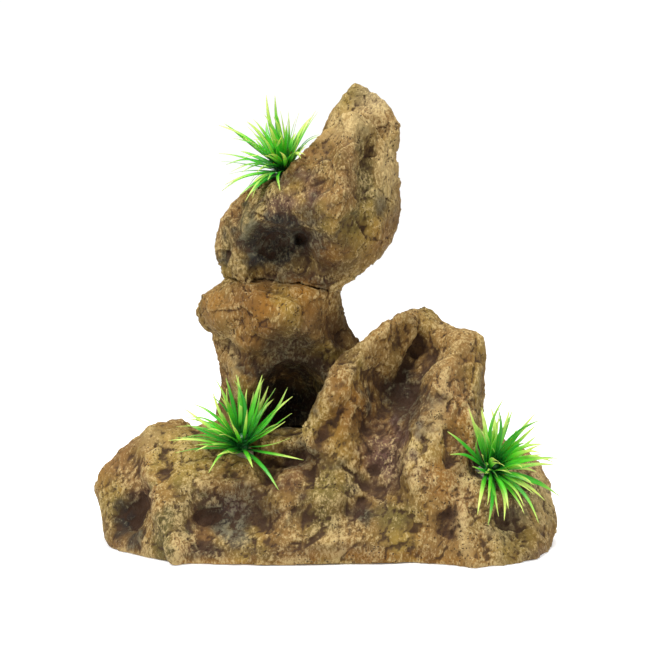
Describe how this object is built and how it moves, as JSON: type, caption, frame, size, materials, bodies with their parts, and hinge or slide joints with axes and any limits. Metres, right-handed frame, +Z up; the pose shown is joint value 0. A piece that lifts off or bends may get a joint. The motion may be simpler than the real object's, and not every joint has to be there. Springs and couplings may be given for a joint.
{
  "type": "resin cave ornament",
  "caption": "Rock tower for an aquarium: a hollow base with a slab, an arched pillar and a crown, bonded together, with grass plants glued on.",
  "frame": {"origin": "on the floor, under the middle of the whole ornament's box", "axes": "+X to the viewer's right along the long side, +Y from the cave's front mouth to the back, +Z up"},
  "size_m": [0.2004, 0.1117, 0.1963],
  "materials": {
    "painted_resin": "matte",
    "leaf_plastic": "satin",
    "stem_plastic": "satin",
    "hot_melt_glue": "gloss"
  },
  "bodies": {
    "root": {"base_casting": "painted_resin", "pillar_casting": "painted_resin", "crown_casting": "painted_resin", "top_plant_glue": "hot_melt_glue", "top_plant_stem": "stem_plastic", "top_plant_whorl_1": "leaf_plastic", "top_plant_whorl_2": "leaf_plastic", "top_plant_whorl_3": "leaf_plastic", "top_plant_whorl_4": "leaf_plastic", "left_plant_glue": "hot_melt_glue", "left_plant_stem": "stem_plastic", "left_plant_whorl_1": "leaf_plastic", "left_plant_whorl_2": "leaf_plastic", "left_plant_whorl_3": "leaf_plastic", "left_plant_whorl_4": "leaf_plastic", "right_plant_glue": "hot_melt_glue", "right_plant_stem": "stem_plastic", "right_plant_whorl_1": "leaf_plastic", "right_plant_whorl_2": "leaf_plastic", "right_plant_whorl_3": "leaf_plastic", "right_plant_whorl_4": "leaf_plastic"}
  },
  "joints": []
}
